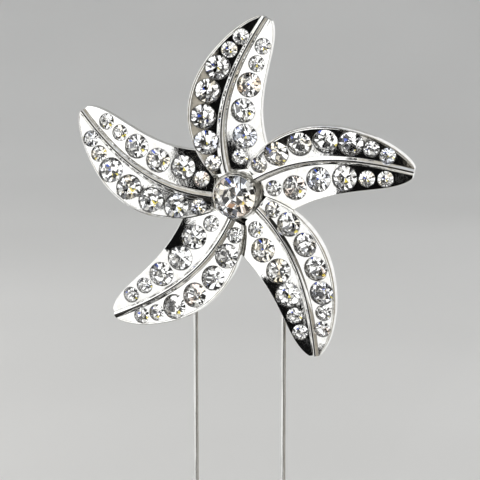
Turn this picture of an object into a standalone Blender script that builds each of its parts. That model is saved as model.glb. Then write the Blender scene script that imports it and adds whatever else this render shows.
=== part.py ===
"""Jewelled starfish pick: five swirled arm castings on a hub, set with round stones, on two prongs.

The pick stands upright: +Z up, its front towards -Y. The origin is midway between the lower ends of the
two prongs. One arm is drawn pointing up and then turned five times about the star's centre.
"""
import math

import bmesh
import bpy
from mathutils import Matrix, Vector
from mathutils.bvhtree import BVHTree
from mathutils.geometry import interpolate_bezier

MM = 0.001

# Star
ARM_NAMES = ("top", "left", "lower_left", "lower_right", "right")
ARM_TURN = math.radians(72.0)
CENTRE_HEIGHT = 100.0
FRONT_OFFSET = 4.0
ARM_GAP = 0.12
FIT_GAP = 0.1

# Plan of the arm that points up, as cubic curves (x to the right, y up, from the star's centre)
RIB_CURVE = ((-1.9, 4.3), (-4.5, 16.2), (0.4, 25.4), (5.4, 33.6))
CONVEX_CURVE = ((-4.0, 2.9), (-17.6, 18.9), (1.3, 34.9), (4.9, 33.95))
CONCAVE_CURVE = ((6.1, 8.6), (2.6, 20.0), (9.1, 28.7), (6.2, 33.6))
CURVE_POINTS = 121
STATIONS = 17

# Section of the arm: arched along its length, its convex flank tilted like a blade and dished, its concave
# flank a small step lower and nearly flat
ARCH_TOP_RADIUS = 19.0
ARCH_TOP = 0.27
ARCH_FALL = 0.0068
BLADE_TILT = 0.17
BLADE_TILT_TIP = 0.05
TILT_FADE = (20.0, 28.0)
DISH = 0.06
LOW_TILT = 0.12
LOW_TILT_FADE = (8.0, 19.0)
LOW_STEP_NEAR = 0.15
LOW_STEP_FAR = 0.40
LOW_STEP_FADE = (8.0, 17.0)
LOW_STEP_START = 0.2
LOW_DISH = 0.02
ARM_THICKNESS = 2.0
BACK_LIFT_SHARE = 0.5
FOOT_FADE = (7.5, 10.0)
RIB_HALF_WIDTH = 0.85
RIB_HALF_WIDTH_TIP = 0.6
RIB_HEIGHT = 0.65
CONVEX_BEVEL_WIDTH = 0.4
CONVEX_BEVEL_DEPTH = 0.7
CONCAVE_BEVEL_WIDTH = 0.2
CONCAVE_BEVEL_DEPTH = 0.25
RIM_SHARE = 0.6
FLANK_SHARES = (0.0, 0.5, 1.0)

# Round stones: girdle diameter, crown height, depth below the girdle
LARGE = {"diameter": 4.6, "crown": 0.8, "depth": 1.35}
SMALL = {"diameter": 3.0, "crown": 0.55, "depth": 0.95}
CENTRE = {"diameter": 8.0, "crown": 1.45, "depth": 2.3}
TABLE_SHARE = 0.55
CULET_SHARE = 0.4
STONE_SIDES = 12
CENTRE_SIDES = 16
SEAT_CLEARANCE = 0.05
GIRDLE_SINK = 0.1
CUTTER_RISE = 2.0
NORMAL_STEP = 0.3

# Stones along each arm, from the hub to the tip: size, x, y
CONVEX_ROW = (
    (SMALL, -4.35, 6.15), (LARGE, -5.45, 10.15), (LARGE, -5.9, 15.05), (LARGE, -5.0, 19.9),
    (LARGE, -3.15, 24.3), (SMALL, -1.05, 27.6), (SMALL, 1.05, 30.05),
)
CONCAVE_ROW = (
    (SMALL, 0.75, 7.35), (LARGE, 1.75, 11.35), (LARGE, 1.5, 16.25), (LARGE, 2.65, 21.05),
    (SMALL, 4.0, 25.0), (SMALL, 5.1, 28.25),
)
# The stones that have a node of their own: all the large ones, and the small ones beside the hub
ROOT_RADIUS = 9.0

# Middle
HUB_RADIUS = 7.2
HUB_FRONT = -3.1
HUB_THICKNESS = 0.9
HUB_BEVEL = 0.2
CUP_RADIUS = 4.4
CUP_BORE = 4.05
CUP_RIM = 0.85
CUP_EDGE = 0.1
CUP_GIRDLE = 0.6
CUP_LEDGE = 0.25
CUP_THROAT = (3.2, -0.35)
CUP_FLOOR = (2.0, -2.2)
CUP_FOOT_RADIUS = 4.2
CUP_SIDES = 48
CLEARANCE_REACH = 5.0

# Prongs and the solder lugs behind the arms
PRONG_DIAMETER = 1.0
PRONG_SPACING = 17.3
PRONG_LENGTH = 104.5
PRONG_SIDES = 16
PRONG_END_BEVEL = 0.12
LUG_LENGTH = 4.6
LUG_WIDTH = 2.6
LUG_BACK = -5.1
LUG_BACK_SHARE = 0.7
LUG_SAMPLES = 6
LUG_HEIGHTS = {
    ("left", "lower"): -15.0, ("left", "upper"): 1.2,
    ("right", "lower"): -10.0, ("right", "upper"): 1.2,
}
LUG_BORE_CLEARANCE = 0.06
BEHIND = -20.0

SIDES = {"left": -1.0, "right": 1.0}

SMOOTH_ANGLE = 30.0

RHODIUM = ((0.80, 0.80, 0.79), 0.08, 1.0)
CRYSTAL = ((0.86, 0.88, 0.90), 0.03, 0.3)
STEEL_WIRE = ((0.68, 0.68, 0.67), 0.22, 1.0)


def clear_scene():
    for item in list(bpy.data.objects):
        bpy.data.objects.remove(item, do_unlink=True)


def make_material(name, look):
    colour, roughness, metallic = look
    material = bpy.data.materials.new(name)
    material.use_nodes = True
    shader = material.node_tree.nodes["Principled BSDF"]
    shader.inputs["Base Color"].default_value = (*colour, 1.0)
    shader.inputs["Roughness"].default_value = roughness
    shader.inputs["Metallic"].default_value = metallic
    return material


def star_to_world(point):
    """Turn (right, up, forward) in millimetres from the star's centre into metres in the part's frame."""
    right, up, forward = point
    return Vector((right, -(forward + FRONT_OFFSET), up + CENTRE_HEIGHT)) * MM


def turned(point, arm):
    """Turn a plan point of the upright arm to where arm number `arm` has it, anticlockwise."""
    angle = ARM_TURN * arm
    x, y = point[0], point[1]
    across = x * math.cos(angle) - y * math.sin(angle)
    along = x * math.sin(angle) + y * math.cos(angle)
    return (across, along, *point[2:])


def finish_object(name, mesh_data, material=None, smooth=False):
    """Close a bmesh into a named object with outward faces."""
    bmesh.ops.recalc_face_normals(mesh_data, faces=mesh_data.faces)
    mesh = bpy.data.meshes.new(name)
    mesh_data.to_mesh(mesh)
    mesh_data.free()
    if smooth:
        mesh.shade_smooth()
        mesh.set_sharp_from_angle(angle=math.radians(SMOOTH_ANGLE))
    piece = bpy.data.objects.new(name, mesh)
    bpy.context.scene.collection.objects.link(piece)
    if material:
        mesh.materials.append(material)
    return piece


def bridge_rings(mesh_data, rings):
    """Join rings of points, given in world metres, into a tube and close its ends."""
    loops = [[mesh_data.verts.new(point) for point in ring] for ring in rings]
    count = len(loops[0])
    for near, far in zip(loops, loops[1:]):
        for i in range(count):
            j = (i + 1) % count
            mesh_data.faces.new((near[i], near[j], far[j], far[i]))
    mesh_data.faces.new(loops[0])
    mesh_data.faces.new(list(reversed(loops[-1])))


def cut(piece, cutter):
    """Cut one object out of another; the cutter stays as a guide that isn't part of the model."""
    cutter.hide_render = True
    cutter.display_type = "WIRE"
    modifier = piece.modifiers.new("cut", "BOOLEAN")
    modifier.operation = "DIFFERENCE"
    modifier.object = cutter
    modifier.solver = "EXACT"


def curve_points(handles):
    corners = [Vector(handle) for handle in handles]
    return [Vector(point[:2]) for point in interpolate_bezier(*corners, CURVE_POINTS)]


RIB = curve_points(RIB_CURVE)
CONVEX_EDGE = curve_points(CONVEX_CURVE)
CONCAVE_EDGE = curve_points(CONCAVE_CURVE)
NEIGHBOUR_EDGE = [Vector(turned(point, -1)) for point in CONVEX_EDGE]


def rib_direction(index):
    before = RIB[max(index - 1, 0)]
    after = RIB[min(index + 1, len(RIB) - 1)]
    return (after - before).normalized()


def left_of(index):
    """Direction in the plan from the rib towards the convex edge."""
    direction = rib_direction(index)
    return Vector((-direction.y, direction.x))


def crossing_distance(origin, direction, edge):
    """Distance from origin along direction to where it crosses an edge, or None."""
    nearest = None
    for start, end in zip(edge, edge[1:]):
        side = end - start
        turn = direction.x * side.y - direction.y * side.x
        if abs(turn) < 1e-9:
            continue
        offset = start - origin
        distance = (offset.x * side.y - offset.y * side.x) / turn
        share = (offset.x * direction.y - offset.y * direction.x) / turn
        if 0.0 <= share <= 1.0 and distance > 0.0 and (nearest is None or distance < nearest):
            nearest = distance
    return nearest


def fade(value, limits):
    """0 below the first limit, 1 above the second, smooth between them."""
    low, high = limits
    share = min(max((value - low) / (high - low), 0.0), 1.0)
    return share * share * (3.0 - 2.0 * share)


def rib_foot(index):
    """Half the rib's width at a station."""
    return RIB_HALF_WIDTH + index / (len(RIB) - 1) * (RIB_HALF_WIDTH_TIP - RIB_HALF_WIDTH)


def root_height(index):
    """Height of the rib's foot: a shallow arch along the arm."""
    return ARCH_TOP - ARCH_FALL * (RIB[index].length - ARCH_TOP_RADIUS) ** 2


def low_step(index, offset):
    """How far the concave flank lies below the rib's foot; the step runs down the rib's face."""
    step = LOW_STEP_NEAR + fade(RIB[index].length, LOW_STEP_FADE) * (LOW_STEP_FAR - LOW_STEP_NEAR)
    foot = rib_foot(index)
    return step * fade(-offset, (LOW_STEP_START * foot, foot))


def flank_height(index, offset):
    """Front surface without the rib; offset is positive towards the convex edge."""
    length = RIB[index].length
    beyond = max(abs(offset) - rib_foot(index), 0.0)
    if offset > 0.0:
        tilt = BLADE_TILT + fade(length, TILT_FADE) * (BLADE_TILT_TIP - BLADE_TILT)
        return root_height(index) + tilt * offset + DISH / 2.0 * beyond**2
    tilt = LOW_TILT * (1.0 - fade(length, LOW_TILT_FADE))
    return root_height(index) - low_step(index, offset) + tilt * offset + LOW_DISH / 2.0 * beyond**2


def back_height(index, offset):
    """Back surface: parallel to the front, half as steep under the convex flank, flat on the hub plate."""
    lift = flank_height(index, offset) - root_height(index)
    natural = root_height(index) - ARM_THICKNESS + lift * (BACK_LIFT_SHARE if offset > 0.0 else 1.0)
    foot = HUB_FRONT + FIT_GAP
    place = RIB[index] + left_of(index) * offset
    return foot + fade(place.length, FOOT_FADE) * (natural - foot)


def nearest_station(x, y):
    """Index of the nearest rib point to a plan point, and the signed distance from the rib."""
    place = Vector((x, y))
    index = min(range(len(RIB)), key=lambda i: (RIB[i] - place).length_squared)
    return index, (place - RIB[index]).dot(left_of(index))


def surface_point(x, y):
    return Vector((x, y, flank_height(*nearest_station(x, y))))


def edge_distances(index):
    """How far the convex and concave edges are from the rib at a station."""
    left = left_of(index)
    convex = crossing_distance(RIB[index], left, CONVEX_EDGE)
    own = crossing_distance(RIB[index], -left, CONCAVE_EDGE)
    neighbour = crossing_distance(RIB[index], -left, NEIGHBOUR_EDGE)
    if own is None or (neighbour is not None and neighbour - ARM_GAP < own):
        own = neighbour - ARM_GAP
    return convex, own


def section_points(index):
    """Section of the arm at a station, as (offset from the rib, height), round from the convex back."""
    convex, concave = edge_distances(index)
    foot = rib_foot(index)
    top = convex - min(CONVEX_BEVEL_WIDTH, RIM_SHARE * (convex - foot))
    low = concave - min(CONCAVE_BEVEL_WIDTH, RIM_SHARE * (concave - foot))
    flank = [top + share * (foot - top) for share in FLANK_SHARES]
    other_flank = [-(foot + share * (low - foot)) for share in FLANK_SHARES]
    points = [
        (convex, back_height(index, convex)),
        (convex, flank_height(index, convex) - CONVEX_BEVEL_DEPTH),
    ]
    points += [(offset, flank_height(index, offset)) for offset in flank]
    points += [(0.0, root_height(index) + RIB_HEIGHT)]
    points += [(offset, flank_height(index, offset)) for offset in other_flank]
    points += [
        (-concave, flank_height(index, -low) - CONCAVE_BEVEL_DEPTH),
        (-concave, back_height(index, -concave)),
        (0.0, back_height(index, 0.0)),
        (convex / 2.0, back_height(index, convex / 2.0)),
    ]
    return points


def station_ring(index, arm):
    left = left_of(index)
    ring = []
    for offset, height in section_points(index):
        place = RIB[index] + left * offset
        ring.append(star_to_world(turned((place.x, place.y, height), arm)))
    return ring


def all_stones():
    """Every stone of one arm: row name, number from the hub, size, x, y."""
    for row_name, row in (("convex", CONVEX_ROW), ("concave", CONCAVE_ROW)):
        for number, (size, x, y) in enumerate(row, start=1):
            yield row_name, number, size, x, y


def stone_frame(x, y, arm):
    """Matrix that stands a stone square on the flank, its own +Z out of the surface."""
    across = surface_point(x + NORMAL_STEP, y) - surface_point(x - NORMAL_STEP, y)
    along = surface_point(x, y + NORMAL_STEP) - surface_point(x, y - NORMAL_STEP)
    out = across.cross(along).normalized()
    place = surface_point(x, y) - out * GIRDLE_SINK
    tip = place + out
    origin = star_to_world(turned(place, arm))
    axis = (star_to_world(turned(tip, arm)) - origin).normalized()
    return Matrix.Translation(origin) @ axis.to_track_quat("Z", "Y").to_matrix().to_4x4()


def circle(radius, height, frame, sides):
    """Ring of points about the frame's own Z, in world metres."""
    ring = []
    for i in range(sides):
        angle = 2.0 * math.pi * i / sides
        point = Vector((radius * math.cos(angle), radius * math.sin(angle), height)) * MM
        ring.append(frame @ point)
    return ring


def seat_cutter(arm):
    """One object with a short round plug for each seat of an arm."""
    plugs = bmesh.new()
    for _, _, size, x, y in all_stones():
        frame = stone_frame(x, y, arm)
        radius = size["diameter"] / 2.0 + SEAT_CLEARANCE
        floor = -(size["depth"] + FIT_GAP)
        rings = [circle(radius, CUTTER_RISE, frame, STONE_SIDES), circle(radius, floor, frame, STONE_SIDES)]
        bridge_rings(plugs, rings)
    return finish_object(f"seats_{ARM_NAMES[arm]}", plugs)


def make_arm(arm, material):
    body = bmesh.new()
    last = len(RIB) - 1
    indices = [round(last * i / (STATIONS - 1)) for i in range(STATIONS)]
    bridge_rings(body, [station_ring(index, arm) for index in indices])
    piece = finish_object(f"arm_{ARM_NAMES[arm]}", body, material, smooth=True)
    cut(piece, seat_cutter(arm))
    cut(piece, cup_clearance(arm))
    return piece


def cup_clearance(arm):
    """Round plug that clears the cup's wall at the root of an arm."""
    plug = bmesh.new()
    frame = star_frame()
    radius = (CUP_RADIUS + FIT_GAP) / math.cos(math.pi / CUP_SIDES)
    ends = (CLEARANCE_REACH, -CLEARANCE_REACH)
    bridge_rings(plug, [circle(radius, end, frame, CUP_SIDES) for end in ends])
    return finish_object(f"cup_clearance_{ARM_NAMES[arm]}", plug)


def star_frame():
    """Frame at the star's centre whose own +Z points forward."""
    return Matrix.Translation(star_to_world((0.0, 0.0, 0.0))) @ Matrix.Rotation(math.pi / 2.0, 4, "X")


def make_stone(name, size, frame, material, sides=STONE_SIDES):
    """Round stone: flat table, sloping crown, girdle, and a pavilion cut flat at the foil."""
    radius = size["diameter"] / 2.0
    rings = [
        circle(radius * TABLE_SHARE, size["crown"], frame, sides),
        circle(radius, 0.0, frame, sides),
        circle(radius * CULET_SHARE, -size["depth"], frame, sides),
    ]
    body = bmesh.new()
    bridge_rings(body, rings)
    return finish_object(name, body, material)


def make_turned(name, profile, material):
    """Turn a profile of (radius, forward) points about the star's axis and close it with two flat discs."""
    body = bmesh.new()
    frame = star_frame()
    bridge_rings(body, [circle(radius, forward, frame, CUP_SIDES) for radius, forward in profile])
    return finish_object(name, body, material, smooth=True)


def make_hub(material):
    back = HUB_FRONT - HUB_THICKNESS
    profile = [
        (HUB_RADIUS - HUB_BEVEL, HUB_FRONT), (HUB_RADIUS, HUB_FRONT - HUB_BEVEL),
        (HUB_RADIUS, back + HUB_BEVEL), (HUB_RADIUS - HUB_BEVEL, back),
    ]
    return make_turned("hub_plate", profile, material)


def make_cup(material):
    """Cup with a flat foot on the hub plate, a ledge under the girdle and a thin rim around it."""
    foot = HUB_FRONT + FIT_GAP
    profile = [
        (CUP_FOOT_RADIUS, foot), (CUP_RADIUS, foot + CUP_RADIUS - CUP_FOOT_RADIUS),
        (CUP_RADIUS, CUP_RIM - CUP_EDGE), (CUP_RADIUS - CUP_EDGE, CUP_RIM), (CUP_BORE, CUP_RIM),
        (CUP_BORE, CUP_LEDGE), CUP_THROAT, CUP_FLOOR,
    ]
    return make_turned("centre_cup", profile, material)


def make_prong(side, material):
    radius = PRONG_DIAMETER / 2.0
    base = Matrix.Translation(Vector((SIDES[side] * PRONG_SPACING / 2.0, 0.0, 0.0)) * MM)
    rings = [
        circle(radius, 0.0, base, PRONG_SIDES),
        circle(radius, PRONG_LENGTH - PRONG_END_BEVEL, base, PRONG_SIDES),
        circle(radius - PRONG_END_BEVEL, PRONG_LENGTH, base, PRONG_SIDES),
    ]
    body = bmesh.new()
    bridge_rings(body, rings)
    return finish_object(f"prong_{side}", body, material, smooth=True)


def make_lug(side, level, trees, material):
    """Solder lug: a tapered block from the back of an arm to behind the prong, which passes through it."""
    middle = SIDES[side] * PRONG_SPACING / 2.0
    height = LUG_HEIGHTS[side, level]
    steps = [i / LUG_SAMPLES - 0.5 for i in range(LUG_SAMPLES + 1)]
    backs = [back_of(trees, middle + a * LUG_WIDTH, height + b * LUG_LENGTH) for a in steps for b in steps]
    rings = []
    for forward, share in ((min(backs) - FIT_GAP, 1.0), (LUG_BACK, LUG_BACK_SHARE)):
        wide, tall = LUG_WIDTH * share / 2.0, LUG_LENGTH * share / 2.0
        corners = ((-wide, -tall), (wide, -tall), (wide, tall), (-wide, tall))
        rings.append([star_to_world((middle + a, height + b, forward)) for a, b in corners])
    body = bmesh.new()
    bridge_rings(body, rings)
    piece = finish_object(f"solder_lug_{side}_{level}", body, material)
    cut(piece, prong_clearance(side, level))
    return piece


def back_of(trees, x, y):
    """How far forward the rearmost arm surface is at a plan point, looking from behind."""
    start = star_to_world((x, y, BEHIND))
    found = [tree.ray_cast(start, Vector((0.0, -1.0, 0.0)))[3] for tree in trees]
    reach = [distance / MM for distance in found if distance is not None]
    return BEHIND + min(reach)


def prong_clearance(side, level):
    radius = (PRONG_DIAMETER / 2.0 + LUG_BORE_CLEARANCE) / math.cos(math.pi / PRONG_SIDES)
    base = Matrix.Translation(Vector((SIDES[side] * PRONG_SPACING / 2.0, 0.0, 0.0)) * MM)
    middle = CENTRE_HEIGHT + LUG_HEIGHTS[side, level]
    plug = bmesh.new()
    rings = [circle(radius, middle + end * LUG_LENGTH, base, PRONG_SIDES) for end in (-1.0, 1.0)]
    bridge_rings(plug, rings)
    return finish_object(f"prong_clearance_{side}_{level}", plug)


def arm_trees():
    """Search trees of the uncut arms, for the lugs to rest against."""
    trees = []
    for name in ARM_NAMES:
        mesh = bpy.data.objects[f"arm_{name}"].data
        trees.append(BVHTree.FromPolygons([v.co for v in mesh.vertices], [p.vertices for p in mesh.polygons]))
    return trees


def make_stones(material):
    for arm, arm_name in enumerate(ARM_NAMES):
        for row_name, number, size, x, y in all_stones():
            if size is SMALL and math.hypot(x, y) > ROOT_RADIUS:
                continue
            make_stone(f"stone_{arm_name}_{row_name}_{number}", size, stone_frame(x, y, arm), material)


def main():
    clear_scene()
    rhodium = make_material("rhodium_plate", RHODIUM)
    crystal = make_material("foiled_crystal", CRYSTAL)
    wire = make_material("steel_wire", STEEL_WIRE)
    for arm in range(len(ARM_NAMES)):
        make_arm(arm, rhodium)
    make_hub(rhodium)
    make_cup(rhodium)
    centre_frame = star_frame() @ Matrix.Translation((0.0, 0.0, CUP_GIRDLE * MM))
    make_stone("stone_centre", CENTRE, centre_frame, crystal, CENTRE_SIDES)
    make_stones(crystal)
    for side in SIDES:
        make_prong(side, wire)
    trees = arm_trees()
    for side, level in LUG_HEIGHTS:
        make_lug(side, level, trees, rhodium)


main()
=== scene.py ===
"""Looks of the jewelled starfish pick.

Five plated arm castings, foiled crystals, a cupped centre stone, the plate behind them and two prongs.
Sizes are in millimetres from the star's centre (right, up, forward) unless a name says metres.
"""

import logging
import math
import random
from dataclasses import dataclass, field
from enum import Enum
from typing import Any, Sequence

import bmesh
import bpy
import numpy as np
from bmesh.types import BMesh, BMVert
from bpy.types import Material, Mesh, Node, NodeSocket, NodeTree, Object
from mathutils import Matrix, Vector
from mathutils.bvhtree import BVHTree
from mathutils.geometry import interpolate_bezier


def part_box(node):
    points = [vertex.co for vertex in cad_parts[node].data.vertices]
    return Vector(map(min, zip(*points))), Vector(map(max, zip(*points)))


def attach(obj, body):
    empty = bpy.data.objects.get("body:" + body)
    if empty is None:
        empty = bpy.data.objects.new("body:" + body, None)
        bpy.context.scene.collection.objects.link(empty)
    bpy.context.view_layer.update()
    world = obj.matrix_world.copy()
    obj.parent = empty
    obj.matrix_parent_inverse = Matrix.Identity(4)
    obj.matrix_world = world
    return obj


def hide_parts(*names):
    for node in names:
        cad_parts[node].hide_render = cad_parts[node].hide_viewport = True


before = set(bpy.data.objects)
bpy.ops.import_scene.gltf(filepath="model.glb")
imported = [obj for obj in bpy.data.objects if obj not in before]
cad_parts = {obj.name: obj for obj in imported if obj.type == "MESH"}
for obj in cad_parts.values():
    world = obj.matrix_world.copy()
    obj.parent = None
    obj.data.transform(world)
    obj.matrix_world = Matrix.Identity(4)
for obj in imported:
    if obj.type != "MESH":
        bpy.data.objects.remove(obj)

LOG = logging.getLogger("starfish_pick")

MM = 0.001
PER_MM = 1000.0
CENTRE_HEIGHT = 100.0
FRONT_OFFSET = 4.0
BODY = "root"

Point = tuple[float, float, float]
Pair = tuple[float, float]
Pairs = tuple[Pair, ...]
Stops = tuple[tuple[float, str], ...]
Rings = Sequence[Sequence[Sequence[float]]]

# Sockets of a Mix node that share their names, by number.
MIX_FLOAT_A, MIX_FLOAT_B = 2, 3
MIX_COLOUR_A, MIX_COLOUR_B = 6, 7
MIX_COLOUR_RESULT = 2
# Where most of a noise's values lie.
NOISE_BAND: Pair = (0.3, 0.7)
TINY = 1e-9


class Slot(Enum):
    """Material slots of the record."""

    RHODIUM = "rhodium_plate"
    CRYSTAL = "foiled_crystal"
    WIRE = "steel_wire"


class Row(Enum):
    """The two rows of stones on an arm, by the edge they follow."""

    CONVEX = "convex"
    CONCAVE = "concave"


class Side(Enum):
    """Left and right prong, with the sign of their place."""

    LEFT = ("left", -1.0)
    RIGHT = ("right", 1.0)


# ---------------------------------------------------------------- small helpers


def hex_colour(code: str) -> tuple[float, float, float, float]:
    """Turn an sRGB hex colour into linear RGBA.

    Args:
        code: Colour such as "#A0B0C0".

    Returns:
        Linear red, green, blue and an alpha of one.
    """
    parts = [int(code[i:i + 2], 16) / 255.0 for i in (1, 3, 5)]
    linear = [p / 12.92 if p <= 0.04045 else ((p + 0.055) / 1.055) ** 2.4 for p in parts]
    return (linear[0], linear[1], linear[2], 1.0)


def add_node(
    tree: NodeTree,
    kind: str,
    settings: dict[str, Any] | None = None,
    inputs: dict[Any, Any] | None = None,
    links: dict[Any, NodeSocket] | None = None,
    stops: Stops = (),
) -> Node:
    """Add a node with its settings, socket values and links.

    Args:
        tree: Tree that gets the node.
        kind: Node type; in a material's tree, without its leading "ShaderNode".
        settings: Properties of the node.
        inputs: Values of unlinked sockets, by name or number.
        links: Sockets that feed the node's own, by name or number.
        stops: Place and hex colour of each stop, for a node that has a colour ramp.

    Returns:
        The new node.
    """
    node = tree.nodes.new(f"ShaderNode{kind}" if tree.type == "SHADER" else kind)
    for name, value in (settings or {}).items():
        setattr(node, name, value)
    for key, value in (inputs or {}).items():
        node.inputs[key].default_value = value
    for key, socket in (links or {}).items():
        tree.links.new(socket, node.inputs[key])
    for number, (place, code) in enumerate(stops):
        elements = node.color_ramp.elements
        element = elements[number] if number < len(elements) else elements.new(place)
        element.position = place
        element.color = hex_colour(code)
    return node


def position_mm(tree: NodeTree, stretch: float = 1.0) -> NodeSocket:
    """Add the nodes that give the place on the object in millimetres.

    Args:
        tree: Tree that gets the nodes.
        stretch: Scale of the height alone; a small one draws patterns out upwards.

    Returns:
        The socket with the place.
    """
    place = add_node(tree, "TexCoord").outputs["Object"]
    scale = (PER_MM, PER_MM, PER_MM * stretch)
    return add_node(tree, "Mapping", inputs={"Scale": scale}, links={"Vector": place}).outputs[0]


def span(source: Pair, target: Pair) -> dict[str, float]:
    """Socket values that map one range to another."""
    return {"From Min": source[0], "From Max": source[1], "To Min": target[0], "To Max": target[1]}


def fade(value: float, limits: Pair) -> float:
    """Give 0 below the first limit, 1 above the second and a smooth step between them.

    Args:
        value: Number to test.
        limits: Start and end of the step.

    Returns:
        A share from 0 to 1.
    """
    low, high = limits
    share = min(max((value - low) / (high - low), 0.0), 1.0)
    return share * share * (3.0 - 2.0 * share)


def to_world(point: Sequence[float]) -> Vector:
    """Turn (right, up, forward) in millimetres into metres in the frame.

    Args:
        point: Place from the star's centre.

    Returns:
        The same place in the frame.
    """
    right, up, forward = point
    return Vector((right, -(forward + FRONT_OFFSET), up + CENTRE_HEIGHT)) * MM


STAR_TO_WORLD = Matrix((
    (MM, 0.0, 0.0, 0.0),
    (0.0, 0.0, -MM, -FRONT_OFFSET * MM),
    (0.0, MM, 0.0, CENTRE_HEIGHT * MM),
    (0.0, 0.0, 0.0, 1.0),
))


def skin(body: BMesh, rings: Rings, wrap: bool = True, close: bool = False) -> list[list[BMVert]]:
    """Lay quads between neighbouring rings of points.

    Args:
        body: Shape that gets them.
        rings: Rings with the same number of points each.
        wrap: Whether the last point of a ring joins the first.
        close: Whether the last ring joins the first.

    Returns:
        The vertices of each ring.
    """
    loops = [[body.verts.new(point) for point in ring] for ring in rings]
    count = len(loops[0])
    for near, far in zip(loops, loops[1:] + (loops[:1] if close else [])):
        for i in range(count if wrap else count - 1):
            j = (i + 1) % count
            body.faces.new((near[i], near[j], far[j], far[i]))
    return loops


def loft(rings: Rings, smooth_degrees: float | None = None) -> Mesh:
    """Join rings of points into a closed tube.

    Args:
        rings: Rings with the same number of points each.
        smooth_degrees: Edges flatter than this are shaded smooth; None leaves every face flat.

    Returns:
        A closed mesh whose faces point outwards.
    """
    body = bmesh.new()
    loops = skin(body, rings)
    body.faces.new(loops[0])
    body.faces.new(list(reversed(loops[-1])))
    return close_mesh(body, smooth_degrees)


def to_mesh(body: BMesh) -> Mesh:
    """Turn a bmesh into a mesh and free it.

    Args:
        body: The shape.

    Returns:
        The mesh.
    """
    mesh = bpy.data.meshes.new("part")
    body.to_mesh(mesh)
    body.free()
    return mesh


def close_mesh(body: BMesh, smooth_degrees: float | None) -> Mesh:
    """Turn a bmesh into a mesh with outward faces and its shading set.

    Args:
        body: The shape; it is freed.
        smooth_degrees: Edges flatter than this are shaded smooth; None leaves every face flat.

    Returns:
        The mesh.
    """
    bmesh.ops.recalc_face_normals(body, faces=body.faces)
    mesh = to_mesh(body)
    if smooth_degrees is not None:
        mesh.shade_smooth()
        mesh.set_sharp_from_angle(angle=math.radians(smooth_degrees))
    return mesh


def circle(radius: float, height: float, sides: int) -> list[Point]:
    """Ring of points about Z.

    Args:
        radius: Radius of the ring.
        height: Its place along Z.
        sides: Number of points.

    Returns:
        The points, anticlockwise from above.
    """
    turns = [2.0 * math.pi * i / sides for i in range(sides)]
    return [(radius * math.cos(a), radius * math.sin(a), height) for a in turns]


def lathe(profile: Sequence[Pair], sides: int, smooth_degrees: float) -> Mesh:
    """Turn an open profile of (radius, height) about Z and close its two ends.

    Args:
        profile: Points from one end to the other.
        sides: Points round the axis.
        smooth_degrees: Edges flatter than this are shaded smooth.

    Returns:
        A closed mesh.
    """
    return loft([circle(radius, height, sides) for radius, height in profile], smooth_degrees)


def new_object(name: str, mesh: Mesh, materials: Sequence[Material] = ()) -> Object:
    """Link a mesh into the scene as an object.

    Args:
        name: Name of the object and its mesh.
        mesh: The mesh.
        materials: Materials for its slots, in order.

    Returns:
        The object, at the origin.
    """
    mesh.name = name
    for material in materials:
        mesh.materials.append(material)
    piece = bpy.data.objects.new(name, mesh)
    bpy.context.scene.collection.objects.link(piece)
    return piece


def evaluated_mesh(piece: Object) -> Mesh:
    """Mesh of an object after its modifiers; the object itself is removed.

    Args:
        piece: Object with modifiers.

    Returns:
        A plain mesh of its own.
    """
    graph = bpy.context.evaluated_depsgraph_get()
    mesh = bpy.data.meshes.new_from_object(piece.evaluated_get(graph), depsgraph=graph)
    bpy.data.objects.remove(piece, do_unlink=True)
    return mesh


def hand_in(piece: Object, replaced: Sequence[str]) -> None:
    """Tie a finished piece to the frame and report it.

    Args:
        piece: The finished piece.
        replaced: CAD nodes that it stands for.
    """
    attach(piece, BODY)
    if replaced:
        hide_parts(*replaced)
    LOG.info("%s: %d faces, replaces %d nodes", piece.name, len(piece.data.polygons), len(replaced))


# ---------------------------------------------------------------- finishes


@dataclass(frozen=True)
class Finish:
    """A node material."""

    name: str

    def build(self) -> Material:
        """Build the material.

        Returns:
            The material.
        """
        material = bpy.data.materials.new(self.name)
        material.use_nodes = True
        tree = material.node_tree
        tree.nodes.clear()
        add_node(tree, "OutputMaterial", links={"Surface": self.shade(tree)})
        return material

    def shade(self, tree: NodeTree) -> NodeSocket:
        """Add the nodes of the surface; each finish has its own.

        Args:
            tree: Tree that gets the nodes.

        Returns:
            The shader's socket.
        """
        raise NotImplementedError(tree)


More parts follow.
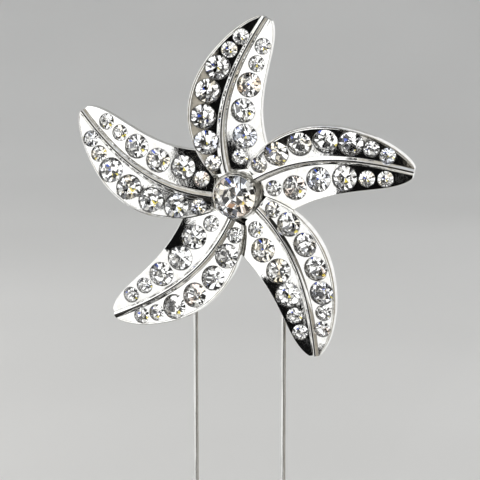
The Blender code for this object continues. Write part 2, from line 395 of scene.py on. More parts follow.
@dataclass(frozen=True)
class RhodiumPlate(Finish):
    """Zinc casting, hand-polished and rhodium plated: a mirror with soft waves, and painted shade in dark
    grey-brown in the nooks round the seats, on the seat walls, along the rib's crest and foot and on the
    back.
    """

    name: str = "cast_zinc_rhodium_plated_polished"
    tones: Stops = ((0.35, "#E2E1DD"), (0.62, "#F1F1EF"))
    # Dark colour of the painted shade in the nooks round the seats, on the seat walls, along the rib's crest
    # and foot and on the back; the roughness below goes with it.
    painted_shade_colour: str = "#2B2822"
    painted_shade_roughness: float = 0.35
    roughness: Pair = (0.045, 0.10)
    wave_per_mm: float = 0.75
    wave_detail: float = 2.0
    wave_depth_mm: float = 0.026
    rib_wave_share: float = 0.3
    calm_below: float = 0.15
    pit_per_mm: float = 2.6
    pit_detail: float = 5.0
    pit_roughness: float = 0.62
    pit_depth_mm: float = 0.034
    peel_per_mm: float = 5.0
    peel_detail: float = 3.0
    peel_depth_mm: float = 0.0012

    def shade(self, tree: NodeTree) -> NodeSocket:
        """Add the plate's nodes.

        Args:
            tree: Tree that gets the nodes.

        Returns:
            The shader's socket.
        """
        point = position_mm(tree)
        wave = add_node(tree, "TexNoise", inputs={"Scale": self.wave_per_mm, "Detail": self.wave_detail},
                        links={"Vector": point}).outputs["Fac"]
        grit = {"Scale": self.pit_per_mm, "Detail": self.pit_detail, "Roughness": self.pit_roughness}
        pits = add_node(tree, "TexNoise", inputs=grit, links={"Vector": point}).outputs["Fac"]
        peel = add_node(tree, "TexNoise", inputs={"Scale": self.peel_per_mm, "Detail": self.peel_detail},
                        links={"Vector": point}).outputs["Fac"]
        # Painted shade: the arm's shade mask, broken up by the peel noise, mixes the dark colour and its
        # roughness into the mirror.
        shade_mask = add_node(tree, "Attribute", {"attribute_name": "painted_shade"}).outputs["Fac"]
        rough_cast = add_node(tree, "Attribute", {"attribute_name": "pitted"}).outputs["Fac"]
        patch = add_node(tree, "Math", {"operation": "MULTIPLY", "use_clamp": True},
                         links={0: shade_mask, 1: peel}).outputs[0]
        metal = add_node(tree, "ValToRGB", links={"Fac": wave}, stops=self.tones)
        colour = add_node(tree, "Mix", {"data_type": "RGBA"}, inputs={MIX_COLOUR_B: hex_colour(self.painted_shade_colour)},
                          links={0: patch, MIX_COLOUR_A: metal.outputs["Color"]})
        polish = add_node(tree, "MapRange", inputs=span(NOISE_BAND, self.roughness), links={"Value": peel})
        rough = add_node(tree, "Mix", {"data_type": "FLOAT"}, inputs={MIX_FLOAT_B: self.painted_shade_roughness},
                         links={0: patch, MIX_FLOAT_A: polish.outputs["Result"]})
        calm = add_node(tree, "MapRange", inputs=span((0.0, self.calm_below), (self.rib_wave_share, 1.0)),
                        links={"Value": rough_cast})
        waves = add_node(tree, "Bump", inputs={"Distance": self.wave_depth_mm * MM},
                         links={"Height": wave, "Strength": calm.outputs["Result"]})
        pitted = add_node(tree, "Math", {"operation": "MULTIPLY"}, links={0: rough_cast, 1: pits})
        dents = add_node(tree, "Bump", inputs={"Distance": self.pit_depth_mm * MM},
                         links={"Height": pitted.outputs[0], "Normal": waves.outputs["Normal"]})
        relief = add_node(tree, "Bump", inputs={"Distance": self.peel_depth_mm * MM},
                          links={"Height": peel, "Normal": dents.outputs["Normal"]})
        return add_node(tree, "BsdfPrincipled", inputs={"Metallic": 1.0},
                        links={"Base Color": colour.outputs[MIX_COLOUR_RESULT], "Roughness": rough.outputs[0],
                               "Normal": relief.outputs["Normal"]}).outputs["BSDF"]


@dataclass(frozen=True)
class LeadCrystal(Finish):
    """Machine-cut lead crystal: clear, hard facets with the faintest polishing haze."""

    name: str = "lead_crystal_machine_cut"
    tones: Stops = ((0.35, "#FAFAF9"), (0.65, "#FFFFFF"))
    ior: float = 1.56
    haze: Pair = (0.0, 0.012)
    haze_band: Pair = (0.45, 0.75)
    haze_per_mm: float = 1.1
    haze_detail: float = 1.0

    def shade(self, tree: NodeTree) -> NodeSocket:
        """Add the crystal's nodes.

        Args:
            tree: Tree that gets the nodes.

        Returns:
            The shader's socket.
        """
        noise = add_node(tree, "TexNoise", inputs={"Scale": self.haze_per_mm, "Detail": self.haze_detail},
                         links={"Vector": position_mm(tree)}).outputs["Fac"]
        tint = add_node(tree, "ValToRGB", links={"Fac": noise}, stops=self.tones)
        haze = add_node(tree, "MapRange", inputs=span(self.haze_band, self.haze), links={"Value": noise})
        shader = add_node(tree, "BsdfPrincipled", inputs={"IOR": self.ior, "Transmission Weight": 1.0},
                          links={"Base Color": tint.outputs["Color"], "Roughness": haze.outputs["Result"]})
        return shader.outputs["BSDF"]


@dataclass(frozen=True)
class MirrorFoil(Finish):
    """Silver foil behind the pavilion facets: a mirror, a few of whose facets flash faintly warm or cool."""

    name: str = "vapour_silver_foil_backing"
    tones: Stops = (
        (0.0, "#FFFFFF"), (0.40, "#F4F4F3"), (0.55, "#FFFFFF"), (0.91, "#FCF6E8"), (0.94, "#ECF0FA"),
        (0.96, "#FFFFFF"), (0.98, "#FAECE2"),
    )
    roughness: float = 0.02

    def shade(self, tree: NodeTree) -> NodeSocket:
        """Add the foil's nodes.

        Args:
            tree: Tree that gets the nodes.

        Returns:
            The shader's socket.
        """
        fire = add_node(tree, "Attribute", {"attribute_name": "fire"})
        colour = add_node(tree, "ValToRGB", links={"Fac": fire.outputs["Fac"]}, stops=self.tones)
        colour.color_ramp.interpolation = "CONSTANT"
        return add_node(tree, "BsdfPrincipled", inputs={"Metallic": 1.0, "Roughness": self.roughness},
                        links={"Base Color": colour.outputs["Color"]}).outputs["BSDF"]


@dataclass(frozen=True)
class SatinMetal(Finish):
    """Metal with one fine grain that sets its tone, its roughness and its relief together."""

    tones: Stops
    roughness: Pair
    grain_per_mm: float
    grain_depth_mm: float
    stretch: float = 1.0
    grain_detail: float = 4.0

    def shade(self, tree: NodeTree) -> NodeSocket:
        """Add the metal's nodes.

        Args:
            tree: Tree that gets the nodes.

        Returns:
            The shader's socket.
        """
        grain = add_node(tree, "TexNoise", inputs={"Scale": self.grain_per_mm, "Detail": self.grain_detail},
                         links={"Vector": position_mm(tree, self.stretch)}).outputs["Fac"]
        colour = add_node(tree, "ValToRGB", links={"Fac": grain}, stops=self.tones)
        rough = add_node(tree, "MapRange", inputs=span(NOISE_BAND, self.roughness), links={"Value": grain})
        depth = self.grain_depth_mm * MM
        relief = add_node(tree, "Bump", inputs={"Distance": depth}, links={"Height": grain})
        return add_node(tree, "BsdfPrincipled", inputs={"Metallic": 1.0},
                        links={"Base Color": colour.outputs["Color"], "Roughness": rough.outputs["Result"],
                               "Normal": relief.outputs["Normal"]}).outputs["BSDF"]


# Hard-drawn steel wire: a bright satin with fine die lines along its length.
DRAWN_WIRE = SatinMetal(
    "stainless_wire_hard_drawn", ((0.3, "#A9A9A6"), (0.6, "#D8D8D6")), roughness=(0.30, 0.16),
    grain_per_mm=9.0, grain_depth_mm=0.004, stretch=0.02,
)
# Soft solder under the plating: a satin, slightly pitted silver.
PLATED_SOLDER = SatinMetal(
    "tin_solder_plated_as_flowed", ((0.35, "#B3AFA7"), (0.6, "#E2E1DD")), roughness=(0.5, 0.3),
    grain_per_mm=3.2, grain_depth_mm=0.02,
)


@dataclass(frozen=True)
class StudioPaper(Finish):
    """Seamless background paper: matt, pale, with the faintest cloud of tone."""

    name: str = "seamless_paper_matt"
    tones: Stops = ((0.4, "#DEDDDA"), (0.6, "#E4E3E0"))
    cloud_per_metre: float = 3.0
    roughness: float = 0.9
    specular: float = 0.2

    def shade(self, tree: NodeTree) -> NodeSocket:
        """Add the paper's nodes.

        Args:
            tree: Tree that gets the nodes.

        Returns:
            The shader's socket.
        """
        place = add_node(tree, "TexCoord").outputs["Object"]
        noise = add_node(tree, "TexNoise", inputs={"Scale": self.cloud_per_metre}, links={"Vector": place})
        colour = add_node(tree, "ValToRGB", links={"Fac": noise.outputs["Fac"]}, stops=self.tones)
        return add_node(tree, "BsdfPrincipled",
                        inputs={"Roughness": self.roughness, "Specular IOR Level": self.specular},
                        links={"Base Color": colour.outputs["Color"]}).outputs["BSDF"]


@dataclass(frozen=True)
class CardGlow(Finish):
    """Even light or darkness of a studio card."""

    colour: str
    strength: float

    def shade(self, tree: NodeTree) -> NodeSocket:
        """Add the card's emission.

        Args:
            tree: Tree that gets the node.

        Returns:
            The shader's socket.
        """
        values = {"Color": hex_colour(self.colour), "Strength": self.strength}
        return add_node(tree, "Emission", inputs=values).outputs["Emission"]


# ---------------------------------------------------------------- shape of an arm


@dataclass(frozen=True)
class StoneSize:
    """Girdle diameter of a round stone, and its depth as a share of that."""

    diameter: float
    pavilion_share: float = 0.40

    @property
    def radius(self) -> float:
        """Half the girdle."""
        return self.diameter / 2.0

    @property
    def depth(self) -> float:
        """Depth from the girdle to the point."""
        return self.diameter * self.pavilion_share


LARGE = StoneSize(4.6)
SMALL = StoneSize(3.0)
CENTRE = StoneSize(8.0)


@dataclass(frozen=True)
class Seat:
    """Place of one stone on the upright arm."""

    row: Row
    number: int
    size: StoneSize
    x: float
    y: float


def seats_of(row: Row, places: Sequence[tuple[StoneSize, float, float]]) -> list[Seat]:
    """Number the seats of a row from the hub to the tip.

    Args:
        row: Row of stones.
        places: Size and plan place of each.

    Returns:
        The seats in order.
    """
    return [Seat(row, number, size, x, y) for number, (size, x, y) in enumerate(places, start=1)]


SEATS: list[Seat] = seats_of(Row.CONVEX, (
    (SMALL, -4.35, 6.15), (LARGE, -5.45, 10.15), (LARGE, -5.9, 15.05), (LARGE, -5.0, 19.9),
    (LARGE, -3.15, 24.3), (SMALL, -1.05, 27.6), (SMALL, 1.05, 30.05),
)) + seats_of(Row.CONCAVE, (
    (SMALL, 0.75, 7.35), (LARGE, 1.75, 11.35), (LARGE, 1.5, 16.25), (LARGE, 2.65, 21.05),
    (SMALL, 4.0, 25.0), (SMALL, 5.1, 28.25),
))


@dataclass
class ArmPlan:
    """Plan and section of the arm that points up, as in the CAD."""

    rib_curve: Pairs = ((-1.9, 4.3), (-4.5, 16.2), (0.4, 25.4), (5.4, 33.6))
    convex_curve: Pairs = ((-4.0, 2.9), (-17.6, 18.9), (1.3, 34.9), (4.9, 33.95))
    concave_curve: Pairs = ((6.1, 8.6), (2.6, 20.0), (9.1, 28.7), (6.2, 33.6))
    curve_points: int = 121
    turn: float = math.radians(72.0)
    arm_gap: float = 0.12
    arch_top_radius: float = 19.0
    arch_top: float = 0.27
    arch_fall: float = 0.0068
    blade_tilt: float = 0.17
    blade_tilt_tip: float = 0.05
    tilt_fade: Pair = (20.0, 28.0)
    dish: float = 0.06
    low_tilt: float = 0.12
    low_tilt_fade: Pair = (8.0, 19.0)
    low_step: Pair = (0.15, 0.40)
    low_step_fade: Pair = (8.0, 17.0)
    low_step_start: float = 0.2
    low_dish: float = 0.02
    thickness: float = 2.0
    back_lift_share: float = 0.5
    foot_fade: Pair = (7.5, 10.0)
    foot_height: float = -3.0
    rib_half_width: float = 0.85
    rib_half_width_tip: float = 0.6
    rib_height: float = 0.65
    girdle_sink: float = 0.1
    normal_step: float = 0.3
    rib: list[Vector] = field(init=False)
    convex_edge: list[Vector] = field(init=False)
    concave_edge: list[Vector] = field(init=False)
    neighbour_edge: list[Vector] = field(init=False)

    def __post_init__(self) -> None:
        """Draw the curves."""
        self.rib = self.curve(self.rib_curve)
        self.convex_edge = self.curve(self.convex_curve)
        self.concave_edge = self.curve(self.concave_curve)
        back = Matrix.Rotation(-self.turn, 2)
        self.neighbour_edge = [back @ point for point in self.convex_edge]

    def curve(self, handles: Sequence[Pair]) -> list[Vector]:
        """Points along a cubic curve.

        Args:
            handles: Its four control points.

        Returns:
            Points in the plan.
        """
        corners = [Vector((*handle, 0.0)) for handle in handles]
        return [Vector(point[:2]) for point in interpolate_bezier(*corners, self.curve_points)]

    def left(self, index: int) -> Vector:
        """Direction in the plan from the rib towards the convex edge.

        Args:
            index: Station.

        Returns:
            A unit vector.
        """
        before = self.rib[max(index - 1, 0)]
        after = self.rib[min(index + 1, len(self.rib) - 1)]
        direction = (after - before).normalized()
        return Vector((-direction.y, direction.x))

    @staticmethod
    def crossing(origin: Vector, direction: Vector, edge: Sequence[Vector]) -> float | None:
        """Distance from a point to where a direction first crosses an edge.

        Args:
            origin: Start.
            direction: Unit direction.
            edge: Points along the edge.

        Returns:
            The distance, or None where they never cross.
        """
        nearest = None
        for start, end in zip(edge, edge[1:]):
            side = end - start
            turn = direction.x * side.y - direction.y * side.x
            if abs(turn) < TINY:
                continue
            offset = start - origin
            distance = (offset.x * side.y - offset.y * side.x) / turn
            share = (offset.x * direction.y - offset.y * direction.x) / turn
            if 0.0 <= share <= 1.0 and distance > 0.0 and (nearest is None or distance < nearest):
                nearest = distance
        return nearest

    def edges(self, index: int) -> Pair:
        """How far the convex and concave edges are from the rib.

        Args:
            index: Station.

        Returns:
            The two distances.
        """
        left = self.left(index)
        convex = self.crossing(self.rib[index], left, self.convex_edge)
        own = self.crossing(self.rib[index], -left, self.concave_edge)
        neighbour = self.crossing(self.rib[index], -left, self.neighbour_edge)
        if own is None or (neighbour is not None and neighbour - self.arm_gap < own):
            own = neighbour - self.arm_gap
        return convex, own

    def foot(self, index: int) -> float:
        """Half the rib's width at a station."""
        share = index / (len(self.rib) - 1)
        return self.rib_half_width + share * (self.rib_half_width_tip - self.rib_half_width)

    def root_height(self, index: int) -> float:
        """Height of the rib's foot at a station."""
        return self.arch_top - self.arch_fall * (self.rib[index].length - self.arch_top_radius) ** 2

    def flank(self, index: int, offset: float) -> float:
        """Front surface without the rib.

        Args:
            index: Station.
            offset: Distance from the rib, positive towards the convex edge.

        Returns:
            Height forward of the star's middle plane.
        """
        length, foot, root = self.rib[index].length, self.foot(index), self.root_height(index)
        beyond = max(abs(offset) - foot, 0.0)
        if offset > 0.0:
            tilt = self.blade_tilt + fade(length, self.tilt_fade) * (self.blade_tilt_tip - self.blade_tilt)
            return root + tilt * offset + self.dish / 2.0 * beyond**2
        tilt = self.low_tilt * (1.0 - fade(length, self.low_tilt_fade))
        step = self.low_step[0] + fade(length, self.low_step_fade) * (self.low_step[1] - self.low_step[0])
        step *= fade(-offset, (self.low_step_start * foot, foot))
        return root - step + tilt * offset + self.low_dish / 2.0 * beyond**2

    def back(self, index: int, offset: float) -> float:
        """Back surface before its hollow is sunk.

        Args:
            index: Station.
            offset: Distance from the rib, positive towards the convex edge.

        Returns:
            Height forward of the star's middle plane.
        """
        lift = self.flank(index, offset) - self.root_height(index)
        share = self.back_lift_share if offset > 0.0 else 1.0
        natural = self.root_height(index) - self.thickness + lift * share
        place = self.rib[index] + self.left(index) * offset
        return self.foot_height + fade(place.length, self.foot_fade) * (natural - self.foot_height)

    def nearest(self, x: float, y: float) -> tuple[int, float]:
        """Station nearest to a plan point.

        Args:
            x: Plan place to the right.
            y: Plan place upwards.

        Returns:
            The station and the signed distance from the rib.
        """
        place = Vector((x, y))
        index = min(range(len(self.rib)), key=lambda i: (self.rib[i] - place).length_squared)
        return index, (place - self.rib[index]).dot(self.left(index))

    def surface(self, x: float, y: float) -> Vector:
        """Point of the front surface over a plan point."""
        return Vector((x, y, self.flank(*self.nearest(x, y))))

    def stone_frame(self, x: float, y: float) -> Matrix:
        """Frame of a stone's girdle, its own Z square out of the surface.

        Args:
            x: Plan place to the right.
            y: Plan place upwards.

        Returns:
            The frame, in millimetres from the star's centre.
        """
        step = self.normal_step
        across = self.surface(x + step, y) - self.surface(x - step, y)
        along = self.surface(x, y + step) - self.surface(x, y - step)
        out = across.cross(along).normalized()
        place = self.surface(x, y) - out * self.girdle_sink
        return Matrix.Translation(place) @ out.to_track_quat("Z", "Y").to_matrix().to_4x4()


@dataclass
class ArmCastings:
    """Five equal arms with a rolled rim, a ridged rib, thirteen drilled seats and a hollow, bossed back."""

    plan: ArmPlan
    names: tuple[str, ...] = ("top", "left", "lower_left", "lower_right", "right")
    root_pits: tuple[float, ...] = (0.12, 0.9, 0.2, 0.25, 0.12)
    flank_steps: int = 20
    back_steps: int = 30
    wall_depth: float = 0.68
    rim: Pairs = (
        (0.02, 0.50), (0.13, 0.24), (0.21, 0.07), (0.25, 0.02), (0.30, 0.0), (0.35, 0.02),
        (0.40, 0.09), (0.46, 0.11), (0.54, 0.03), (0.60, 0.0),
    )
    rim_room: float = 0.64
    rim_share: float = 0.6
    low_rim: Pairs = ((0.0, 0.11), (0.015, 0.05), (0.04, 0.015), (0.08, 0.0))
    low_rim_room: float = 0.1
    low_rim_share: float = 0.5
    rib_face: Pairs = (
        (1.12, 0.0), (1.04, 0.02), (0.97, 0.09), (0.78, 0.28), (0.56, 0.50), (0.36, 0.71), (0.27, 0.80),
        (0.20, 0.82), (0.16, 0.80), (0.13, 0.72), (0.06, 0.60),
    )
    low_rib_face: Pairs = (
        (1.12, 0.0), (1.05, 0.03), (1.01, 0.14), (0.96, 0.27), (0.88, 0.35), (0.6, 0.55), (0.32, 0.75),
        (0.25, 0.80), (0.20, 0.82), (0.16, 0.80), (0.13, 0.72), (0.06, 0.60),
    )
    crest_dip: float = 0.58
    least_flank: float = 0.02
    least_wall: float = 0.5
    toe_gap: float = 0.02
    hollow_depth: float = 0.42
    border: Pair = (0.55, 1.0)
    boss: Pair = (0.1, 0.45)
    hub_pad: Pair = (8.2, 9.4)
    bore_radius: float = 4.45
    bore_reach: float = 6.0
    bore_sides: int = 96
    seat_sides: int = 40
    seat_clearance: float = 0.05
    seat_flare: float = 0.32
    seat_rise: float = 1.6
    seat_land: float = 0.14
    seat_tip_share: float = 0.1
    smooth_angle: float = 40.0
    keep_normal_angle: float = 28.0
    probe_share: float = 0.02
    on_blank: float = 0.01
    least_agreement: float = 0.7
    # Painted shade: reach and strength of the darkening round the seats, on the seat walls, on faces turned
    # to the back, along the rib's crest and along its foot.
    nook_reach: Pair = (0.02, 0.2)
    nook_shade: float = 0.45
    wall_shade: float = 1.5
    back_shade: float = 0.24
    back_slope: float = -0.3
    crest_reach: Pair = (0.09, 0.15)
    crest_shade: float = 2.6
    line_reach: Pair = (0.03, 0.10)
    line_shade: float = 0.55
    pit_reach: Pair = (9.0, 17.0)
    pit_clearance: Pair = (0.1, 0.5)
    pit_floor: float = 0.15

    def half(self, index: int, sign: float) -> list[Pair]:
        """Front of one flank with its half of the rib, from the edge inwards.

        Args:
            index: Station.
            sign: One for the flank at the convex edge, minus one for the other.

        Returns:
            Points as (offset from the rib, height).
        """
        plan, foot = self.plan, self.plan.foot(index)
        convex, concave = plan.edges(index)
        if sign > 0.0:
            edge, face = convex, self.rib_face
            rim, room, part = self.rim, self.rim_room, self.rim_share
        else:
            edge, face = concave, self.low_rib_face
            rim, room, part = self.low_rim, self.low_rim_room, self.low_rim_share
        scale = min(1.0, part * max(edge - foot, self.least_flank) / room)
        start = edge - room * scale
        end = min(foot * face[0][0] + self.toe_gap, start)
        points = []
        if sign > 0.0:
            wall = self.wall_depth * max(scale, self.least_wall)
            points.append((edge, plan.flank(index, edge) - wall))
        for inward, drop in rim:
            offset = sign * (edge - inward * scale)
            points.append((offset, plan.flank(index, offset) - drop * scale))
        for step in range(self.flank_steps):
            offset = sign * (start + step / (self.flank_steps - 1) * (end - start))
            points.append((offset, plan.flank(index, offset)))
        return points + [self.rib_point(index, sign * min(foot * share, start), rise) for share, rise in face]

    def rib_point(self, index: int, offset: float, rise: float) -> Pair:
        """Point of the rib's surface.

        Args:
            index: Station.
            offset: Distance from the rib's middle.
            rise: Share of the way from the flank to the rib's full height.

        Returns:
            The offset and the height.
        """
        top = self.plan.root_height(index) + self.plan.rib_height
        return (offset, (1.0 - rise) * self.plan.flank(index, offset) + rise * top)

    def section(self, index: int) -> list[Pair]:
        """Section of the arm at a station, round from the convex edge.

        Args:
            index: Station.

        Returns:
            Points as (offset from the rib, height).
        """
        convex, concave = self.plan.edges(index)
        points = self.half(index, 1.0) + [self.rib_point(index, 0.0, self.crest_dip)]
        points += reversed(self.half(index, -1.0))
        for i in range(self.back_steps + 1):
            offset = -concave + i / self.back_steps * (convex + concave)
            height = self.plan.back(index, offset) + self.hollow(index, offset, convex, concave)
            points.append((offset, height))
        return points

    def hollow(self, index: int, offset: float, convex: float, concave: float) -> float:
        """How far the back is sunk: nothing at the border, over the seats and on the hub pad.

        Args:
            index: Station.
            offset: Distance from the rib.
            convex: Distance of the convex edge.
            concave: Distance of the concave edge.

        Returns:
            Depth of the hollow.
        """
        place = self.plan.rib[index] + self.plan.left(index) * offset
        tip = (self.plan.rib[-1] - self.plan.rib[index]).length
        share = fade(min(convex - offset, concave + offset, tip), self.border)
        share *= fade(place.length, self.hub_pad)
        for seat in SEATS:
            gap = math.hypot(place.x - seat.x, place.y - seat.y) - seat.size.radius
            share *= fade(gap, self.boss)
        return share * self.hollow_depth

    def blank(self) -> Mesh:
        """Build the uncut arm.

        Returns:
            Its mesh, in millimetres from the star's centre.
        """
        rings = []
        for index, rib in enumerate(self.plan.rib):
            left = self.plan.left(index)
            rings.append([(*(rib + left * offset), height) for offset, height in self.section(index)])
        return loft(rings, self.smooth_angle)

    def cutter(self) -> Mesh:
        """Build the drills for the seats and the bore for the cup.

        Returns:
            One mesh of separate solids.
        """
        body = bmesh.new()
        for seat in SEATS:
            radius = seat.size.radius + self.seat_clearance
            profile = [
                (radius + self.seat_flare, self.seat_rise), (radius, 0.0), (radius, -self.seat_land),
                (radius * self.seat_tip_share, -seat.size.depth - self.seat_clearance),
            ]
            drill = lathe(profile, self.seat_sides, self.smooth_angle)
            drill.transform(self.plan.stone_frame(seat.x, seat.y))
            body.from_mesh(drill)
        ends = [(self.bore_radius, self.bore_reach), (self.bore_radius, -self.bore_reach)]
        body.from_mesh(lathe(ends, self.bore_sides, self.smooth_angle))
        return close_mesh(body, None)

    def cut_arm(self) -> Mesh:
        """Build the arm with its seats drilled and its shading carried over from the blank.

        Returns:
            The arm that points up.
        """
        blank = self.blank()
        work = new_object("arm_work", blank.copy())
        drills = new_object("arm_drills", self.cutter())
        modifier = work.modifiers.new("drill", "BOOLEAN")
        modifier.operation = "DIFFERENCE"
        modifier.object = drills
        modifier.solver = "EXACT"
        mesh = evaluated_mesh(work)
        bpy.data.objects.remove(drills, do_unlink=True)
        self.carry_normals(blank, mesh)
        self.paint_nook_shade(mesh)
        return mesh

    def carry_normals(self, blank: Mesh, mesh: Mesh) -> None:
        """Give the cut arm the blank's smooth normals wherever its faces still lie on the blank.

        Args:
            blank: Uncut arm.
            mesh: Cut arm.
        """
        blank.calc_loop_triangles()
        corners = [v.co for v in blank.vertices]
        triangles = [tuple(t.vertices) for t in blank.loop_triangles]
        tree = BVHTree.FromPolygons(corners, triangles)
        smooth = [Vector(n.vector) for n in blank.corner_normals]
        loops = [tuple(t.loops) for t in blank.loop_triangles]
        limit = math.cos(math.radians(self.keep_normal_angle))
        normals: list[Vector] = [Vector()] * len(mesh.loops)
        for face in mesh.polygons:
            centre = face.center
            for loop in face.loop_indices:
                corner = mesh.vertices[mesh.loops[loop].vertex_index].co
                probe = corner.lerp(centre, self.probe_share)
                near, flat, number, gap = tree.find_nearest(probe)
                out = face.normal
                if flat.dot(face.normal) > limit and gap < self.on_blank:
                    a, b, c = (corners[k] for k in triangles[number])
                    weights = barycentric(near, a, b, c)
                    mixed = sum((smooth[k] * w for k, w in zip(loops[number], weights)), Vector())
                    if mixed.normalized().dot(face.normal) > self.least_agreement:
                        out = mixed.normalized()
                normals[loop] = out
        mesh.shade_smooth()
        mesh.normals_split_custom_set(normals)

    def paint_nook_shade(self, mesh: Mesh) -> None:
        """Write how much painted shade each corner gets, round the seats, on the seat walls, along the rib's
        crest and foot and on faces turned to the back, and how pitted the metal is.

        Args:
            mesh: Cut arm.
        """
        foot_share = self.rib_face[1][0]
        marks, pits = [], []
        for vertex in mesh.vertices:
            x, y, _ = vertex.co
            index, offset = self.plan.nearest(x, y)
            foot = self.plan.foot(index)
            gap = min(abs(math.hypot(x - s.x, y - s.y) - s.size.radius) for s in SEATS)
            line = abs(abs(offset) - foot * foot_share)
            # Painted shade along the seats' edges, the rib's foot and its crest.
            marks.append(max(self.nook_shade * (1.0 - fade(gap, self.nook_reach)),
                             self.line_shade * (1.0 - fade(line, self.line_reach)),
                             self.crest_shade * (1.0 - fade(abs(offset), self.crest_reach))))
            root = 1.0 - fade(math.hypot(x, y), self.pit_reach)
            clear = fade(abs(offset) - foot * foot_share, self.pit_clearance)
            pits.append(clear * (self.pit_floor + root))
        corners = [0.0] * len(mesh.loops)
        for face in mesh.polygons:
            x, y, _ = face.center
            # Seat walls take strong painted shade, faces turned to the back a little.
            behind = face.normal.z < self.back_slope
            walled = any(math.hypot(x - s.x, y - s.y) < s.size.radius + self.seat_clearance for s in SEATS)
            for loop in face.loop_indices:
                if behind:
                    corners[loop] = self.back_shade
                else:
                    corners[loop] = self.wall_shade if walled else marks[mesh.loops[loop].vertex_index]
        layer = mesh.attributes.new("painted_shade", "FLOAT", "CORNER")
        layer.data.foreach_set("value", np.array(corners, np.float32))
        layer = mesh.attributes.new("pitted", "FLOAT", "POINT")
        layer.data.foreach_set("value", np.array(pits, np.float32))

    def build(self, metal: Material) -> None:
        """Build and hand in the five arms.

        Args:
            metal: Their finish.
        """
        arm = self.cut_arm()
        for number, name in enumerate(self.names):
            mesh = arm.copy()
            pitted = mesh.attributes["pitted"].data
            values = np.zeros(len(pitted), np.float32)
            pitted.foreach_get("value", values)
            at_root = np.maximum(values - self.pit_floor, 0.0) * self.root_pits[number]
            pitted.foreach_set("value", np.minimum(values, self.pit_floor) + at_root)
            mesh.transform(STAR_TO_WORLD @ Matrix.Rotation(self.plan.turn * number, 4, "Z"))
            hand_in(new_object(f"casting_{name}", mesh, [metal]), [f"arm_{name}"])


def barycentric(point: Vector, a: Vector, b: Vector, c: Vector) -> tuple[float, float, float]:
    """Weights of a triangle's corners at a point on it.

    Args:
        point: Point on the triangle.
        a: First corner.
        b: Second corner.
        c: Third corner.

    Returns:
        Three weights that add to one.
    """
    u, v, w = b - a, c - a, point - a
    uu, uv, vv, wu, wv = u.dot(u), u.dot(v), v.dot(v), w.dot(u), w.dot(v)
    area = uu * vv - uv * uv
    if abs(area) < TINY**2:
        return (1.0, 0.0, 0.0)
    second = (vv * wu - uv * wv) / area
    third = (uu * wv - uv * wu) / area
    return (1.0 - second - third, second, third)


# ---------------------------------------------------------------- stones


@dataclass(frozen=True)
class RoundCut:
    """Facets of a round stone with a girdle of one: table, sixteen crown facets, girdle, eight-fold point."""

    folds: int = 8
    table_share: float = 0.54
    crown: float = 0.176
    girdle: float = 0.05
    pavilion: float = 0.40

    def ring(self, radius: float, heights: Sequence[float]) -> list[Point]:
        """Ring of points whose heights repeat round it.

        Args:
            radius: Radius of the ring.
            heights: Heights within one fold.

        Returns:
            The points.
        """
        count = self.folds * len(heights)
        return [(x, y, heights[i % len(heights)]) for i, (x, y, _) in enumerate(circle(radius, 0.0, count))]

    def build(self) -> Mesh:
        """Build the stone.

        Returns:
            Its mesh, with a face attribute that marks the foiled facets.
        """
        rim, table = 0.5, 0.5 * self.table_share
        half = math.cos(math.pi / self.folds)
        # The facets are flat, so the girdle's edges rise and fall a little between them.
        upper_dip = self.crown * (rim - rim * half) / (rim * half - table)
        lower_rise = (self.pavilion - self.girdle) * (1.0 / half - 1.0)
        body = bmesh.new()
        rings = (
            self.ring(table, (self.crown,)), self.ring(rim, (-upper_dip, 0.0)),
            self.ring(rim, (-self.girdle, lower_rise - self.girdle)),
        )
        top, upper, lower = ([body.verts.new(place) for place in ring] for ring in rings)
        point = body.verts.new((0.0, 0.0, -self.pavilion))
        clear, foiled = [tuple(top)], []
        for k in range(self.folds):
            before, knot, middle, end = (2 * k - 1) % len(upper), 2 * k, 2 * k + 1, (2 * k + 2) % len(upper)
            clear += [
                (top[k], upper[middle], top[(k + 1) % self.folds]),
                (top[k], upper[before], upper[knot], upper[middle]),
                (upper[knot], lower[knot], lower[middle], upper[middle]),
                (upper[middle], lower[middle], lower[end], upper[end]),
            ]
            foiled.append((point, lower[knot], lower[middle], lower[end]))
        layer = body.faces.layers.bool.new("foiled")
        for corners, is_foiled in [(c, False) for c in clear] + [(c, True) for c in foiled]:
            body.faces.new(corners)[layer] = is_foiled
        return close_mesh(body, None)


